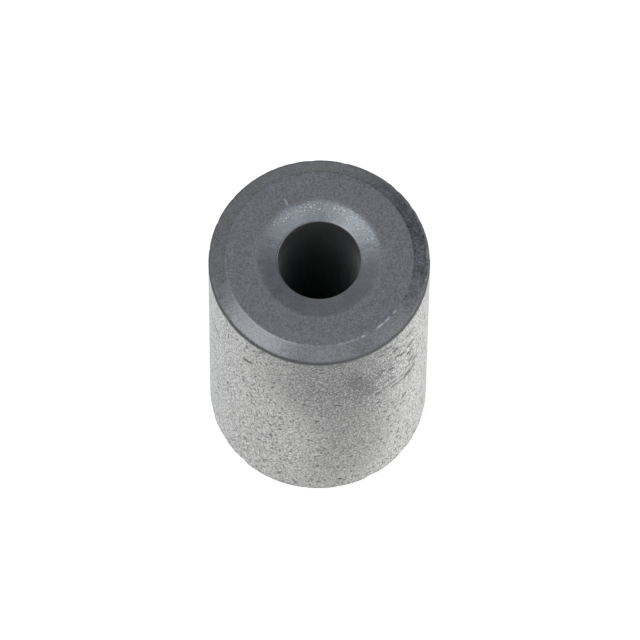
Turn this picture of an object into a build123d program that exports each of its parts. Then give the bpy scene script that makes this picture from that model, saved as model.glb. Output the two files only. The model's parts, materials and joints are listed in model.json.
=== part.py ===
"""Solid ferrite cable core: one pressed and sintered cylinder with a plain bore along its axis.

It is a single body of revolution. Both ends are alike: a flat annular face between a wide
shallow chamfer at the rim and a shallow dished mouth around the bore. The core stands on its
lower end face, with the origin at that face's centre and +Z up the bore. Sizes are millimetres.
"""

from build123d import *
import os
from math import radians, tan

# Body
outer_diameter = 12.7
bore_diameter = 4.75
length = 20.5

# Rim chamfer at both ends: its radial width, and its slope from the end face in degrees
rim_chamfer_width = 0.95
rim_chamfer_slope = 30.0

# Dished bore mouth at both ends: its radial width, and its slope from the end face in degrees
mouth_width = 1.18
mouth_slope = 12.0

# Radii that the press tool leaves where two surfaces of the section meet
rim_edge_radius = 0.12
face_edge_radius = 0.15
mouth_edge_radius = 1.20
bore_edge_radius = 0.08


def end_corners():
    """The section's corners at one end, from the bore outwards.

    Each is its radius, its depth below the end face, and the edge radius that rounds it.
    """
    bore_radius = bore_diameter / 2
    outer_radius = outer_diameter / 2
    mouth_depth = mouth_width * tan(radians(mouth_slope))
    chamfer_depth = rim_chamfer_width * tan(radians(rim_chamfer_slope))
    return [
        (bore_radius, mouth_depth, bore_edge_radius),
        (bore_radius + mouth_width, 0, mouth_edge_radius),
        (outer_radius - rim_chamfer_width, 0, face_edge_radius),
        (outer_radius, chamfer_depth, rim_edge_radius),
    ]


def half_section():
    """The wall's section in the XZ plane, on the +X side of the axis, with its edges rounded."""
    lower = [((radius, depth), rounding) for radius, depth, rounding in end_corners()]
    upper = [((radius, length - depth), rounding) for radius, depth, rounding in end_corners()]
    corners = lower + upper[::-1]
    return FilletPolyline(
        *[point for point, _ in corners],
        radius=[rounding for _, rounding in corners],
        close=True,
    )


def ferrite_core():
    """The core: the section turned once round the Z axis."""
    outline = Plane.XZ * half_section()
    return revolve(make_face(outline), axis=Axis.Z)


os.makedirs("parts", exist_ok=True)
core = ferrite_core()
core.label = "ferrite_core"
export_step(core, "parts/ferrite_core.step")
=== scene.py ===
import json
import math

import bpy
import numpy as np
from mathutils import Matrix, Vector, noise


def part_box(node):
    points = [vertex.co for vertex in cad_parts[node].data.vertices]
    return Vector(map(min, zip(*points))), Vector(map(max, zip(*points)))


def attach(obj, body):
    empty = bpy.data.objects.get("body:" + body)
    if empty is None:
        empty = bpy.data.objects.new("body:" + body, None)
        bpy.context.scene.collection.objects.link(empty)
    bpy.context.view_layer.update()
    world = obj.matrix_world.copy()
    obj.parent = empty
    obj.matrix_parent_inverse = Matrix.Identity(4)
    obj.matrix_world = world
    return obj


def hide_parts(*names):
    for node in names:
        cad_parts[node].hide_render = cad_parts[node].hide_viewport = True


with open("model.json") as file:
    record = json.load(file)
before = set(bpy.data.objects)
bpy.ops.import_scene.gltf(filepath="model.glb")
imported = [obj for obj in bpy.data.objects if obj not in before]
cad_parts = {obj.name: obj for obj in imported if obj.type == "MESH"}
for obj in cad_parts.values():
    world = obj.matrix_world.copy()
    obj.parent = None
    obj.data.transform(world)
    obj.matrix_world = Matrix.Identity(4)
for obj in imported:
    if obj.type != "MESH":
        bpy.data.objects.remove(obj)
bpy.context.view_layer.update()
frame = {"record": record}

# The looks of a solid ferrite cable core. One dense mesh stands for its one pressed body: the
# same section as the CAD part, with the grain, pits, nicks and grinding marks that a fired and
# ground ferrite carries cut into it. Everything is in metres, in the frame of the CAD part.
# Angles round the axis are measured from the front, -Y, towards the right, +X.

MM = 0.001
UM = 0.000001
NODE = "ferrite_core"

# Sizes of the section. The walls come from the mounts, and the end forms repeat the CAD part's.
MOUNTS = {mount["name"]: mount for mount in frame["record"]["mounts"]}
BOTTOM, TOP = (corner.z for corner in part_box(NODE))
OUTER_R = MOUNTS["barrel"]["dims"]["r_mm"] * MM
BORE_R = MOUNTS["bore"]["dims"]["r_mm"] * MM
RIM_WIDTH = 0.95 * MM
RIM_DEPTH = RIM_WIDTH * math.tan(math.radians(30.0))
MOUTH_WIDTH = 1.18 * MM
MOUTH_DEPTH = MOUTH_WIDTH * math.tan(math.radians(12.0))
RIM_EDGE_R = 0.12 * MM
FACE_EDGE_R = 0.15 * MM
MOUTH_EDGE_R = 1.20 * MM
BORE_EDGE_R = 0.08 * MM

# The mesh: how many steps round the axis, and how many rings along each stretch of the section
STEPS_ROUND = 384
RINGS = {"mouth": 9, "land": 11, "rim": 9, "barrel": 144, "bore": 10}

# The surface's zones: the flat face ("land"), and the zones that are painted over it in this order
PAINTED_ZONES = ("rim", "mouth", "barrel", "bore")
ZONES = ("land", *PAINTED_ZONES)


# ---------------------------------------------------------------- section

def section_corners():
    """The section's corners, from the bore's lower end round to its upper end.

    Each is its point (radius, height), its edge radius, its rings, and the zone that follows it.
    """
    below = [
        (BORE_R, MOUTH_DEPTH, BORE_EDGE_R, 4, "mouth"),
        (BORE_R + MOUTH_WIDTH, 0.0, MOUTH_EDGE_R, 6, "land"),
        (OUTER_R - RIM_WIDTH, 0.0, FACE_EDGE_R, 3, "rim"),
        (OUTER_R, RIM_DEPTH, RIM_EDGE_R, 5, "barrel"),
    ]
    zones_above = ("rim", "land", "mouth", "bore")
    lower = [(Vector((r, BOTTOM + d)), e, n, zone) for r, d, e, n, zone in below]
    upper = [
        (Vector((r, TOP - d)), e, n, zone)
        for (r, d, e, n, _), zone in zip(below[::-1], zones_above)
    ]
    return lower + upper


def corner_arc(before, corner, after, radius, count):
    """Points along the arc that rounds a corner, its two ends included."""
    towards_before = (before - corner).normalized()
    towards_after = (after - corner).normalized()
    half = towards_before.angle(towards_after) / 2
    centre = corner + (towards_before + towards_after).normalized() * radius / math.sin(half)
    start = corner + towards_before * radius / math.tan(half) - centre
    end = corner + towards_after * radius / math.tan(half) - centre
    turn = math.remainder(math.atan2(end.y, end.x) - math.atan2(start.y, start.x), math.tau)
    return [centre + Matrix.Rotation(turn * i / (count - 1), 2) @ start for i in range(count)]


def section_rings():
    """The closed section as rings: points (radius, height) and each zone's weight at each ring."""
    corners = section_corners()
    points = []
    weights = []
    arcs = []
    for i, (corner, radius, count, _) in enumerate(corners):
        before = corners[i - 1][0]
        after = corners[(i + 1) % len(corners)][0]
        arcs.append(corner_arc(before, corner, after, radius, count))
    for i, (_, _, count, zone) in enumerate(corners):
        zone_before = corners[i - 1][3]
        for j, point in enumerate(arcs[i]):
            share = j / (count - 1)
            weights.append({zone_before: 1 - share, zone: share})
            points.append(point)
        start = arcs[i][-1]
        end = arcs[(i + 1) % len(corners)][0]
        for j in range(1, RINGS[zone] + 1):
            weights.append({zone: 1.0})
            points.append(start.lerp(end, j / (RINGS[zone] + 1)))
    zones = {z: np.array([w.get(z, 0.0) for w in weights]) for z in ZONES}
    return np.array([tuple(p) for p in points]), zones


def outward(points):
    """The outward normal of a closed section at each of its points."""
    along = np.roll(points, -1, axis=0) - np.roll(points, 1, axis=0)
    normal = np.stack([along[:, 1], -along[:, 0]], axis=1)
    return normal / np.linalg.norm(normal, axis=1, keepdims=True)


# ---------------------------------------------------------------- relief and marks

def lumps(points, size, seed):
    """Smooth seeded noise, about -1 to 1, with lumps of that size. A size may be one per axis."""
    scaled = points / np.asarray(size) + seed * np.array([17.31, 5.93, 11.17])
    return np.array([noise.noise(p) for p in scaled.tolist()])


def dash(around, height, start, end, width):
    """How strongly each point lies on one short mark, 0 to 1, on the unrolled barrel."""
    ax, ay = start
    bx, by = end
    length_squared = (bx - ax) ** 2 + (by - ay) ** 2
    share = ((around - ax) * (bx - ax) + (height - ay) * (by - ay)) / length_squared
    share = np.clip(share, 0.0, 1.0)
    away = np.hypot(around - ax - share * (bx - ax), height - ay - share * (by - ay))
    return np.exp(-((away / width) ** 2)) * (1 - 0.5 * np.abs(2 * share - 1) ** 3)


# The deepest drag marks on the barrel. Each runs from one angle in degrees and drop below the
# upper face in mm to another, and has its half width in mm and its strength.
DRAG_MARKS = (
    ((51.5, 8.2), (58.5, 8.5), 0.34, 1.00),
    ((42.0, 8.0), (50.5, 8.3), 0.13, 0.85),
    ((37.0, 6.3), (45.5, 6.8), 0.12, 0.90),
    ((35.0, 3.7), (42.5, 4.0), 0.12, 0.75),
    ((43.0, 2.6), (46.0, 2.8), 0.28, 1.00),
    ((48.5, 4.2), (51.0, 4.4), 0.24, 1.00),
    ((54.0, 5.4), (57.0, 5.2), 0.24, 1.00),
    ((55.7, 6.8), (59.7, 6.6), 0.20, 1.00),
    ((31.5, 7.2), (35.0, 7.6), 0.15, 0.95),
    ((40.0, 5.0), (43.5, 5.3), 0.14, 0.90),
    ((8.5, 6.9), (13.0, 7.3), 0.12, 0.85),
    ((-43.0, 3.9), (-36.7, 3.6), 0.12, 0.95),
    ((-75.0, 5.2), (-64.0, 5.1), 0.12, 0.95),
    ((-7.7, 6.9), (-6.6, 6.8), 0.15, 0.90),
)


def scattered_dashes(rng, count, angles, drops, lengths, slopes, widths):
    """Short marks at random places: each its start, its end, its half width and its strength."""
    dashes = []
    for _ in range(count):
        at = math.radians(rng.uniform(*angles)) * OUTER_R
        z = TOP - rng.uniform(*drops) * MM
        half = rng.uniform(*lengths) * MM / 2
        rise = rng.uniform(*slopes) * half
        width = rng.uniform(*widths) * MM
        dashes.append(((at - half, z - rise), (at + half, z + rise), width, rng.uniform(0.35, 0.95)))
    return dashes


def barrel_marks(angle, height, on_barrel):
    """Grinding marks on the barrel: scattered dashes all round, and a patch of drag marks."""
    rng = np.random.default_rng(31)
    around = angle * OUTER_R
    drops = (0.0, (TOP - BOTTOM) / MM)
    dashes = scattered_dashes(rng, 200, (-180, 180), drops, (0.05, 0.35), (-0.5, 0.5), (0.09, 0.13))
    dashes += scattered_dashes(rng, 38, (31, 63), (0.8, 9.0), (0.2, 0.7), (-0.6, 0.0), (0.10, 0.15))
    for (angle_a, drop_a), (angle_b, drop_b), width, strength in DRAG_MARKS:
        start = (math.radians(angle_a) * OUTER_R, TOP - drop_a * MM)
        end = (math.radians(angle_b) * OUTER_R, TOP - drop_b * MM)
        dashes.append((start, end, width * MM, strength))
    marks = np.zeros(len(angle))
    for start, end, width, strength in dashes:
        marks = np.maximum(marks, strength * dash(around, height, start, end, width))
    return marks * on_barrel


def drag_patch(angle, height, on_barrel):
    """The soft-edged patch of the barrel, front right near the top, that is scored all over."""
    across = (np.degrees(angle) - 47) / 17
    down = ((TOP - height) / MM - 5.2) / 4.6
    return np.exp(-(across**4) - down**4) * on_barrel


# Where the smear on the barrel is darkest: angle in degrees, drop below the upper face and size in
# mm
SMEARS = ((20.0, 4.3, 0.60), (25.0, 5.4, 0.65), (29.5, 6.4, 0.36), (34.0, 4.6, 0.28))


def barrel_smear_and_front_shade(angle, height, on_barrel):
    """A soft grey band down the front of the barrel, darkest near the top. It is partly a real smear
    with darker blots, and partly painted shade over the middle of the front, which mirrors less of
    the white floor than the sides do.
    """
    drop = (TOP - height) / MM
    degrees = np.degrees(angle)
    centre = 20 - 6 * (drop / 17) ** 4
    width = np.where(degrees > centre, 29, 20 + 30 / (1 + (drop / 8) ** 6))
    fade = 1 / (1 + (drop / 20) ** 8)
    strength = 0.72 + 0.20 / (1 + (drop / 9) ** 4)
    band = strength * np.exp(-np.abs((degrees - centre) / width) ** 3) * fade
    for at, at_drop, size in SMEARS:
        away = np.hypot(np.radians(degrees - at) * OUTER_R / MM, (drop - at_drop) * 0.5)
        band += (1.25 - band) * np.exp(-((away / size) ** 2))
    return band * on_barrel


# Where the upper face's outer edge is chipped, and painted with a bright line that is partly a
# painted highlight: angle and half length in degrees, and strength
EDGE_CHIPS = (
    (28.0, 1.2, 0.90),
    (41.0, 2.8, 1.00),
    (46.5, 2.0, 0.80),
    (53.0, 1.6, 0.70),
    (17.0, 8.0, 0.35),
)
# A short scratch on the upper face: its angle in degrees, and its inner and outer radius
FACE_SCRATCH = (-151.0, 3.70 * MM, 4.25 * MM)


def top_chips_and_highlight(angle, radius, height):
    """Chipped stretches of the upper face's outer edge, which also carry a bright line, partly a
    painted highlight, and the scratch near the bore's mouth.
    """
    degrees = np.degrees(angle)
    beyond_edge = (radius - (OUTER_R - RIM_WIDTH)) / (0.16 * MM)
    chips_and_highlight = np.zeros(len(angle))
    for at, half_length, strength in EDGE_CHIPS:
        along = (degrees - at) / half_length
        chips_and_highlight = np.maximum(chips_and_highlight, strength * np.exp(-(along**4) - beyond_edge**2))
    at, inner, outer = FACE_SCRATCH
    along = (radius - (inner + outer) / 2) / ((outer - inner) / 2)
    across = np.radians(degrees - at) * radius / (0.055 * MM)
    scratch = np.exp(-(across**2) - along**6)
    return chips_and_highlight * (height > TOP - RIM_DEPTH), scratch * (height > TOP - RIM_DEPTH)


def mouth_painted_glints(angle, radius):
    """Where glints are painted on the bore's mouth as bright specks: its outer band, round the back,
    where the mouth mirrors the lamps.
    """
    from_back = np.degrees(np.arccos(np.cos(angle - math.radians(168))))
    band = np.exp(-(((radius - 3.25 * MM) / (0.36 * MM)) ** 4))
    return band / (1 + (from_back / 62) ** 12)


def rim_edge(radius, height):
    """How near each point is to the edge between a rim chamfer and the barrel, 0 to 1."""
    drop = np.minimum(height - BOTTOM, TOP - height) - RIM_DEPTH
    return np.exp(-((np.hypot(OUTER_R - radius, drop) / (0.17 * MM)) ** 2))


def burnished_mouth(points, radius, on_bore):
    """The zone burnished by the press tool round the bore, with a soft and uneven border."""
    border = 3.88 * MM + lumps(points / MM, 0.5, 7) * 0.15 * MM
    share = np.clip((border - radius) / (0.60 * MM), 0, 1)
    return share * share * (3 - 2 * share) * (1 - on_bore)


def relief(points, zones, masks):
    """How deep the surface lies under the true section at each vertex, in metres."""
    mm_points = points / MM
    fine = lumps(mm_points, 0.28, 1)
    pits = np.maximum(lumps(mm_points, (0.24, 0.24, 0.48), 2) - 0.34, 0)
    nicks = np.maximum(lumps(mm_points, 0.55, 3) - 0.12, 0)
    pitted = zones["barrel"] + 0.35 * zones["land"] + 0.2 * zones["rim"]
    depth = 4 + 4 * fine + 110 * pits * pitted + 70 * nicks * masks["edge"]
    depth += 75 * masks["marks"] + 18 * masks["chips_and_highlight"]
    return depth * UM


# ---------------------------------------------------------------- the piece

def surface_grid():
    """Every vertex's angle and place, with its zone weights, for the closed ring-by-ring mesh."""
    section, ring_zones = section_rings()
    normals = outward(section)
    angles = np.linspace(-math.pi, math.pi, STEPS_ROUND, endpoint=False)
    ring, step = np.meshgrid(np.arange(len(section)), np.arange(STEPS_ROUND), indexing="ij")
    ring = ring.ravel()
    angle = angles[step.ravel()]
    zones = {z: w[ring] for z, w in ring_zones.items()}
    return section[ring], normals[ring], angle, zones, len(section)


def turned(radius, height, angle):
    """Points at a radius, a height and an angle measured from -Y towards +X."""
    return np.stack([radius * np.sin(angle), -radius * np.cos(angle), height], axis=1)


def ring_faces(rings):
    """The quads between neighbouring rings, the last ring joined to the first."""
    ring, step = np.meshgrid(np.arange(rings), np.arange(STEPS_ROUND), indexing="ij")
    next_ring = (ring + 1) % rings
    next_step = (step + 1) % STEPS_ROUND
    corners = (ring, step), (ring, next_step), (next_ring, next_step), (next_ring, step)
    return np.stack([(r * STEPS_ROUND + s).ravel() for r, s in corners], axis=1)


def make_core():
    """The ferrite body: the true section turned round Z, with its relief cut inwards."""
    section, normals, angle, zones, rings = surface_grid()
    radius, height = section[:, 0], section[:, 1]
    chips_and_highlight, scratch = top_chips_and_highlight(angle, radius, height)
    masks = {
        "edge": rim_edge(radius, height),
        "marks": barrel_marks(angle, height, zones["barrel"]),
        "smear_and_front_shade": barrel_smear_and_front_shade(angle, height, zones["barrel"]),
        # The smear down the front of the barrel, with painted shade over the middle of the front
        "patch": drag_patch(angle, height, zones["barrel"]),
        # Painted highlights: glints in the bore's mouth, round its back
        "painted_glints": mouth_painted_glints(angle, radius) * (1 - zones["bore"]),
        # Chipped edge, and the bright line on it that is partly a painted highlight
        "chips_and_highlight": chips_and_highlight,
        "scratch": scratch,
    }
    depth = relief(turned(radius, height, angle), zones, masks)
    inner = section - normals * depth[:, None]
    points = turned(inner[:, 0], inner[:, 1], angle)
    zones["mouth"] = burnished_mouth(points, radius, zones["bore"])
    mesh = bpy.data.meshes.new("ferrite_core_body")
    mesh.from_pydata(points.tolist(), [], ring_faces(rings).tolist())
    for name, values in {**zones, **masks}.items():
        attribute = mesh.attributes.new(name, "FLOAT", "POINT")
        attribute.data.foreach_set("value", values.astype(np.float32))
    mesh.shade_smooth()
    mesh.update()
    core = bpy.data.objects.new("ferrite_core_body", mesh)
    bpy.context.scene.collection.objects.link(core)
    return core


# ---------------------------------------------------------------- materials

class Tree:
    """A node tree with short calls for the nodes that this script uses."""

    def __init__(self, owner):
        owner.use_nodes = True
        self.tree = owner.node_tree
        self.tree.nodes.clear()

    def add(self, kind, inputs=None, **settings):
        node = self.tree.nodes.new(kind)
        for name, value in settings.items():
            setattr(node, name, value)
        for name, value in (inputs or {}).items():
            if isinstance(value, bpy.types.NodeSocket):
                self.tree.links.new(value, node.inputs[name])
            else:
                node.inputs[name].default_value = value
        return node

    def math(self, operation, a, b=0.0):
        return self.add("ShaderNodeMath", {0: a, 1: b}, operation=operation).outputs[0]

    def product(self, a, b):
        return self.math("MULTIPLY", a, b)

    def largest(self, first, *others):
        for other in others:
            first = self.math("MAXIMUM", first, other)
        return first

    def attribute(self, name):
        return self.add("ShaderNodeAttribute", attribute_name=name).outputs["Fac"]

    def mix(self, share, a, b, blend="MIX"):
        node = self.add("ShaderNodeMix", data_type="RGBA", blend_type=blend)
        for socket, value in ((0, share), (6, a), (7, b)):
            if isinstance(value, bpy.types.NodeSocket):
                self.tree.links.new(value, node.inputs[socket])
            else:
                node.inputs[socket].default_value = value
        return node.outputs[2]

    def ramp(self, value, low, high, to_low=0.0, to_high=1.0):
        """A number held between two ends as value goes from low to high."""
        ends = {"From Min": low, "From Max": high, "To Min": to_low, "To Max": to_high}
        return self.add("ShaderNodeMapRange", {"Value": value, **ends}).outputs[0]

    def noise(self, place, size, detail=0.0):
        """Noise with lumps of about that size in mm, along X and Y, and along Z."""
        across, along = size
        scale = (1 / (across * MM), 1 / (across * MM), 1 / (along * MM))
        scaled = self.add("ShaderNodeVectorMath", {0: place, 1: scale}, operation="MULTIPLY")
        inputs = {"Vector": scaled.outputs[0], "Scale": 1.0, "Detail": detail}
        return self.add("ShaderNodeTexNoise", inputs).outputs["Fac"]

    def cells(self, place, size):
        """Distance from the middle of each irregular cell of about that size in mm."""
        inputs = {"Vector": place, "Scale": 1 / (size * MM)}
        return self.add("ShaderNodeTexVoronoi", inputs).outputs["Distance"]


def grey(level, tint=(1.0, 1.0, 1.0)):
    return (level * tint[0], level * tint[1], level * tint[2], 1.0)


BLUISH = (1.0, 1.0, 1.14)
STEEL = (0.98, 1.0, 1.22)
WARM = (1.03, 1.0, 0.94)

# By zone: the colour, the roughness, how strongly the fine and the coarse noise shade it, and how
# strongly the facets of the grain and the fine noise raise it
COLOURS = {
    "land": grey(0.065, BLUISH),
    "rim": grey(0.046, STEEL),
    "mouth": grey(0.082, BLUISH),
    # The barrel's colour is far paler than the ends': a little of that is its ground finish, most of
    # it is painted reflection of the white floor, which the barrel's sides mirror at a slant
    "barrel": grey(0.390, WARM),
    # The bore's near-black colour is painted shade: it is the same ferrite as the ends, darkened for
    # the little light that reaches down the bore
    "bore": grey(0.013),
}
ROUGHNESS = {"land": 0.62, "rim": 0.30, "mouth": 0.32, "barrel": 0.41, "bore": 0.60}
MOTTLE = {"land": 0.80, "rim": 1.00, "mouth": 0.30, "barrel": 0.50, "bore": 0.20}
CLOUD = {"land": 0.25, "rim": 0.28, "mouth": 0.12, "barrel": 0.07, "bore": 0.10}
FACETS = {"land": 0.35, "rim": 0.30, "mouth": 0.40, "barrel": 0.45, "bore": 0.30}
GRAIN = {"land": 0.80, "rim": 0.60, "mouth": 0.50, "barrel": 1.40, "bore": 0.50}

# The colours of pores and dark marks, also used for painted shade; of freshly broken grain, also
# used for painted highlights; and of grain scuffed pale
DARK = grey(0.03)
BROKEN_GRAIN_AND_GLINT = grey(0.42, BLUISH)
SCUFFED = grey(0.65)

# Lumps of the noises in mm, along X and Y and along Z, and the size of the grain's facets
FINE_SIZE = (0.10, 0.15)
COARSE_SIZE = (0.55, 0.80)
SPECK_SIZE = (0.19, 0.28)
GLINT_SIZE = (0.085, 0.085)
FACET_SIZE = 0.10

# The scored streaks: their rise in mm per mm to the right, and their length and width in mm
STREAK_SLOPE = -0.38
STREAK_SIZE = (0.85, 0.17)

DARK_ROUGHNESS = 0.95
BUMP_HEIGHT = 9 * UM
GLOSS = {"IOR": 2.2, "Sheen Weight": 0.50, "Sheen Roughness": 0.25}


def by_zone(tree, values):
    """A number that is one value on the flat face and another in each zone round it."""
    result = values["land"]
    for zone in PAINTED_ZONES:
        mixed = tree.add("ShaderNodeMix", {0: tree.attribute(zone), 2: result, 3: values[zone]})
        result = mixed.outputs[0]
    return result


def edge_line(tree, radius, fine):
    """A thin ragged bright line along the upper face's outer edge, wherever that edge is chipped:
    partly broken grain, partly a painted highlight of the edge.
    """
    ragged = tree.ramp(fine, 0.3, 0.7, -0.03 * MM, 0.03 * MM)
    away = tree.math("SUBTRACT", tree.math("ADD", radius, ragged), OUTER_R - RIM_WIDTH)
    line = tree.ramp(tree.math("ABSOLUTE", away), 0.01 * MM, 0.07 * MM, 1.0, 0.0)
    return tree.product(line, tree.attribute("chips_and_highlight"))


def scored_streaks(tree, parts):
    """Thin sloping streaks round the barrel, inside the scored patch only."""
    length, width = STREAK_SIZE
    angle = tree.math("ARCTAN2", parts["X"], tree.product(parts["Y"], -1.0))
    around = tree.product(angle, OUTER_R)
    across = tree.math("SUBTRACT", parts["Z"], tree.product(around, STREAK_SLOPE))
    along_axes = {
        0: tree.math("DIVIDE", around, length * MM),
        1: tree.math("DIVIDE", across, width * MM),
    }
    place = tree.add("ShaderNodeCombineXYZ", along_axes).outputs[0]
    inputs = {"Vector": place, "Scale": 1.0, "Detail": 1.0}
    lines = tree.add("ShaderNodeTexNoise", inputs, noise_dimensions="2D").outputs["Fac"]
    return tree.product(tree.ramp(lines, 0.60, 0.66), tree.attribute("patch"))


def zone_colour(tree, fine, coarse):
    """Each zone's own colour, mottled by the fine noise and clouded by the coarse noise."""
    colour = COLOURS["land"]
    for zone in PAINTED_ZONES:
        colour = tree.mix(tree.attribute(zone), colour, COLOURS[zone])
    mottle = tree.product(tree.ramp(fine, 0.32, 0.68, -1.0, 1.0), by_zone(tree, MOTTLE))
    cloud = tree.product(tree.ramp(coarse, 0.3, 0.7, -1.0, 1.0), by_zone(tree, CLOUD))
    shade = tree.math("ADD", tree.math("ADD", mottle, cloud), 1.0)
    return tree.mix(1.0, colour, shade, "MULTIPLY")


def darkening(tree, place, fine, scored):
    """How dark the pores, marks, streaks, the line along each rim edge, and the smear with its
    painted shade on the front of the barrel leave the surface, 0 to 1.
    """
    specks = tree.ramp(tree.noise(place, SPECK_SIZE), 0.67, 0.73, 0.0, 0.9)
    pores = tree.ramp(fine, 0.34, 0.56, 0.56, 0.0)
    ragged = tree.ramp(fine, 0.3, 0.7, -0.15, 0.25)
    marks = tree.math("ADD", tree.attribute("marks"), ragged)
    edge = tree.math("ADD", tree.attribute("edge"), ragged)
    smear_and_front_shade = tree.product(tree.attribute("smear_and_front_shade"), tree.ramp(fine, 0.3, 0.7, 1.15, 0.48))
    return tree.largest(
        tree.product(tree.largest(specks, pores), tree.attribute("barrel")),
        tree.ramp(marks, 0.30, 0.60),
        tree.product(scored, 0.95),
        tree.ramp(edge, 0.35, 0.70),
        smear_and_front_shade,
    )


def broken_grain_and_glints(tree, place, radius, fine):
    """Where the surface is painted bright: broken grain along the chipped edge and in the scratch,
    and painted highlights as glints in the bore's mouth.
    """
    scratch = tree.ramp(tree.attribute("scratch"), 0.35, 0.80, 0.0, 0.8)
    painted_glints = tree.ramp(tree.noise(place, GLINT_SIZE), 0.62, 0.72)
    painted_glints = tree.product(painted_glints, tree.attribute("painted_glints"))
    return tree.largest(edge_line(tree, radius, fine), scratch, painted_glints)


def ferrite_material():
    """Sintered ferrite: dark matt ends, burnished edges, and a ground barrel with a grain, whose
    pale colour is mostly painted reflection of the white floor.
    """
    material = bpy.data.materials.new("sintered_ferrite")
    tree = Tree(material)
    place = tree.add("ShaderNodeTexCoord").outputs["Object"]
    parts = tree.add("ShaderNodeSeparateXYZ", {0: place}).outputs
    radius = tree.math("SQRT", tree.math("ADD", *(tree.math("POWER", parts[a], 2.0) for a in "XY")))
    fine = tree.noise(place, FINE_SIZE, 1.0)
    coarse = tree.noise(place, COARSE_SIZE, 2.0)
    scored = scored_streaks(tree, parts)

    dark = darkening(tree, place, fine, scored)
    scuffed = tree.product(tree.ramp(fine, 0.56, 0.68, 0.0, 0.8), tree.attribute("patch"))
    # Painted shade over the front of the barrel goes in here with the pores and dark marks
    colour = tree.mix(dark, zone_colour(tree, fine, coarse), DARK)
    # Broken grain, and painted highlights as glints in the bore's mouth and along the chipped edge
    colour = tree.mix(broken_grain_and_glints(tree, place, radius, fine), colour, BROKEN_GRAIN_AND_GLINT)
    colour = tree.mix(scuffed, colour, SCUFFED)

    uneven = tree.ramp(coarse, 0.35, 0.65, -0.03, 0.03)
    rough = tree.math("ADD", by_zone(tree, ROUGHNESS), uneven)
    rough = tree.add("ShaderNodeMix", {0: dark, 2: rough, 3: DARK_ROUGHNESS}).outputs[0]

    height = tree.product(tree.cells(place, FACET_SIZE), by_zone(tree, FACETS))
    height = tree.math("ADD", height, tree.product(fine, by_zone(tree, GRAIN)))
    height = tree.math("SUBTRACT", height, tree.product(scored, 3.5))
    bump_inputs = {"Height": height, "Strength": 1.0, "Distance": BUMP_HEIGHT}
    bump = tree.add("ShaderNodeBump", bump_inputs).outputs[0]

    inputs = {"Base Color": colour, "Roughness": rough, "Normal": bump, **GLOSS}
    shader = tree.add("ShaderNodeBsdfPrincipled", inputs)
    tree.add("ShaderNodeOutputMaterial", {"Surface": shader.outputs[0]})
    return material


# ---------------------------------------------------------------- surroundings

# Each soft lamp: where it stands as seen from the object, how far off, its width and height, its
# radiance and its tint
NEUTRAL = (1.0, 1.0, 1.0)
COOLISH = (0.98, 1.0, 1.04)
COOL = (0.88, 1.0, 1.12)
LAMPS = {
    "key": ((-0.47, -0.27, 0.84), 0.50, (0.35, 0.35), 2.35, COOLISH),
    "top_left": ((-0.27, 0.05, 0.96), 0.50, (0.26, 0.16), 2.3, COOL),
    "top_right": ((0.22, 0.05, 0.97), 0.50, (0.22, 0.16), 2.1, COOL),
    "front": ((0.12, -0.63, 0.76), 0.50, (0.25, 0.25), 1.0, COOLISH),
    "front_right": ((0.66, -0.31, 0.69), 0.50, (0.26, 0.26), 0.7, COOLISH),
    "right_low": ((1.00, -0.12, 0.07), 0.50, (0.60, 0.10), 15.0, NEUTRAL),
    "left_low": ((-0.99, -0.10, 0.06), 0.50, (0.60, 0.08), 5.6, NEUTRAL),
}
# The share of the light tent that lights matt surfaces. Gloss mirrors all of it.
AMBIENT = 0.15
# A dark card at the back right dims the tent: its direction, the cosines of the angles from it at
# the card's border and at its core, and the share of the light that the core leaves
CARD_DIRECTION = (0.75, 0.55, 0.38)
CARD_COSINES = (0.72, 0.95)
CARD_LIGHT = 0.15
# How white the floor's own glow looks to the camera, near the object and far off, and the
# distances from the axis where the near value ends and the far value starts
FLOOR_GLOW = (0.84, 1.0)
FLOOR_GLOW_REACH = (2 * OUTER_R, 8 * OUTER_R)


def rays(tree, *kinds):
    """1 for rays of any of those kinds, and 0 for the rest."""
    path = tree.add("ShaderNodeLightPath").outputs
    return tree.largest(*(path[kind] for kind in kinds))


def make_world():
    """White behind everything. A light tent, darker overhead and at a card, round the object."""
    world = bpy.data.worlds.new("studio")
    bpy.context.scene.world = world
    tree = Tree(world)
    direction = tree.add("ShaderNodeTexCoord").outputs["Generated"]
    parts = tree.add("ShaderNodeSeparateXYZ", {0: direction}).outputs
    tent = tree.ramp(parts["Z"], 0.50, 0.95, 0.60, 0.17)
    card = {0: direction, 1: CARD_DIRECTION}
    facing = tree.add("ShaderNodeVectorMath", card, operation="DOT_PRODUCT").outputs["Value"]
    tent = tree.product(tent, tree.ramp(facing, *CARD_COSINES, 1.0, CARD_LIGHT))
    share = tree.ramp(rays(tree, "Is Glossy Ray"), 0.0, 1.0, AMBIENT, 1.0)
    lit = tree.product(tent, share)
    behind = rays(tree, "Is Camera Ray", "Is Transmission Ray")
    strength = tree.add("ShaderNodeMix", {0: behind, 2: lit, 3: 1.0}).outputs[0]
    shader = tree.add("ShaderNodeBackground", {"Color": grey(1.0), "Strength": strength})
    tree.add("ShaderNodeOutputWorld", {"Surface": shader.outputs[0]})
    world.cycles.sampling_method = "NONE"


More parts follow.
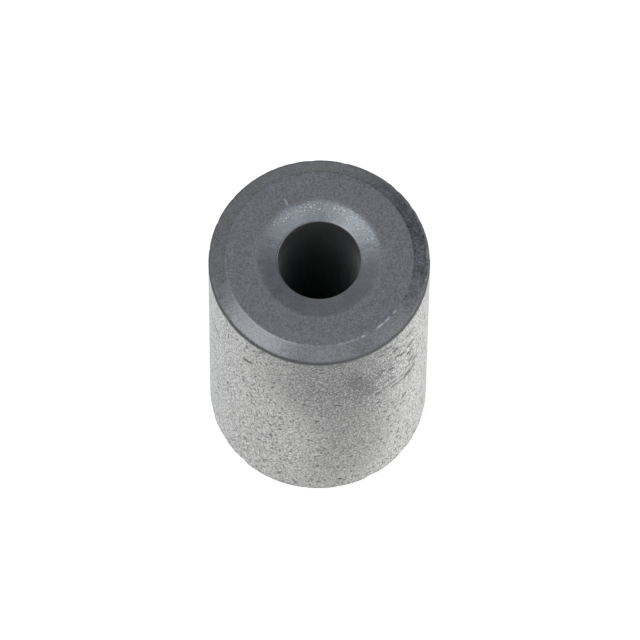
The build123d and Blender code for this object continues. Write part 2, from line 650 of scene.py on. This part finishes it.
def make_floor():
    """A wide white floor at the object's foot, which keeps a faint shadow round it."""
    half = 2.0
    corners = [(-half, -half, 0), (half, -half, 0), (half, half, 0), (-half, half, 0)]
    mesh = bpy.data.meshes.new("floor")
    mesh.from_pydata(corners, [], [(0, 1, 2, 3)])
    floor = bpy.data.objects.new("floor", mesh)
    floor.location.z = BOTTOM
    bpy.context.scene.collection.objects.link(floor)
    material = bpy.data.materials.new("white_floor")
    tree = Tree(material)
    seen = rays(tree, "Is Camera Ray", "Is Glossy Ray", "Is Transmission Ray")
    place = tree.add("ShaderNodeTexCoord").outputs["Object"]
    from_axis = tree.add("ShaderNodeVectorMath", {0: place}, operation="LENGTH").outputs["Value"]
    near = tree.ramp(from_axis, *FLOOR_GLOW_REACH, *FLOOR_GLOW)
    white = tree.add("ShaderNodeMix", {0: rays(tree, "Is Camera Ray"), 2: 1.0, 3: near})
    # No glow under the core, so the floor seen down the bore is dark: a painted shadow
    beyond_bore = tree.math("GREATER_THAN", from_axis, BORE_R + MOUTH_WIDTH)
    glow = tree.product(tree.product(seen, beyond_bore), white.outputs[0])
    lit = tree.add("ShaderNodeBsdfDiffuse", {"Color": tree.mix(seen, grey(0.80), grey(0.40))})
    own = tree.add("ShaderNodeEmission", {"Color": grey(1.0), "Strength": glow})
    both = tree.add("ShaderNodeAddShader", {0: lit.outputs[0], 1: own.outputs[0]})
    tree.add("ShaderNodeOutputMaterial", {"Surface": both.outputs[0]})
    material.cycles.emission_sampling = "NONE"
    mesh.materials.append(material)


def make_lamps():
    """Soft rectangular lamps that point at the middle of the object."""
    middle = Vector((0, 0, (BOTTOM + TOP) / 2))
    for name, (direction, distance, size, radiance, tint) in LAMPS.items():
        data = bpy.data.lights.new(name, "AREA")
        data.shape = "RECTANGLE"
        data.size, data.size_y = size
        data.energy = radiance * math.pi * size[0] * size[1]
        data.color = tint
        lamp = bpy.data.objects.new(name, data)
        away = Vector(direction).normalized()
        lamp.location = middle + away * distance
        lamp.rotation_euler = away.to_track_quat("Z", "Y").to_euler()
        lamp.visible_camera = False
        bpy.context.scene.collection.objects.link(lamp)


# The camera: its elevation and roll in degrees, its distance in outer radii, its aim in outer
# radii to its own right of and above the upper face's centre, and its lens and sensor in mm
ELEVATION = 67.86
ROLL = 0.60
DISTANCE = 96.12
AIM = (0.0064, -0.5539)
LENS = 600.6
SENSOR = 36


def make_camera():
    """A long lens that looks down on the upper face from the front."""
    elevation = math.radians(ELEVATION)
    roll = math.radians(ROLL)
    back = Vector((0, -math.cos(elevation), math.sin(elevation)))
    up = Vector((0, math.sin(elevation), math.cos(elevation)))
    right = Vector((1, 0, 0))
    rolled_right = right * math.cos(roll) + up * math.sin(roll)
    rolled_up = up * math.cos(roll) - right * math.sin(roll)
    data = bpy.data.cameras.new("camera")
    data.lens = LENS
    data.sensor_width = SENSOR
    camera = bpy.data.objects.new("camera", data)
    aim = Vector((0, 0, TOP)) + OUTER_R * (AIM[0] * rolled_right + AIM[1] * rolled_up)
    turn = Matrix((rolled_right, rolled_up, back)).transposed().to_4x4()
    camera.matrix_world = Matrix.Translation(aim + back * DISTANCE * OUTER_R) @ turn
    bpy.context.scene.collection.objects.link(camera)
    bpy.context.scene.camera = camera


core = make_core()
core.data.materials.append(ferrite_material())
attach(core, "root")
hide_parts(NODE)
make_world()
make_floor()
make_lamps()
make_camera()
bpy.context.scene.view_settings.view_transform = "Standard"
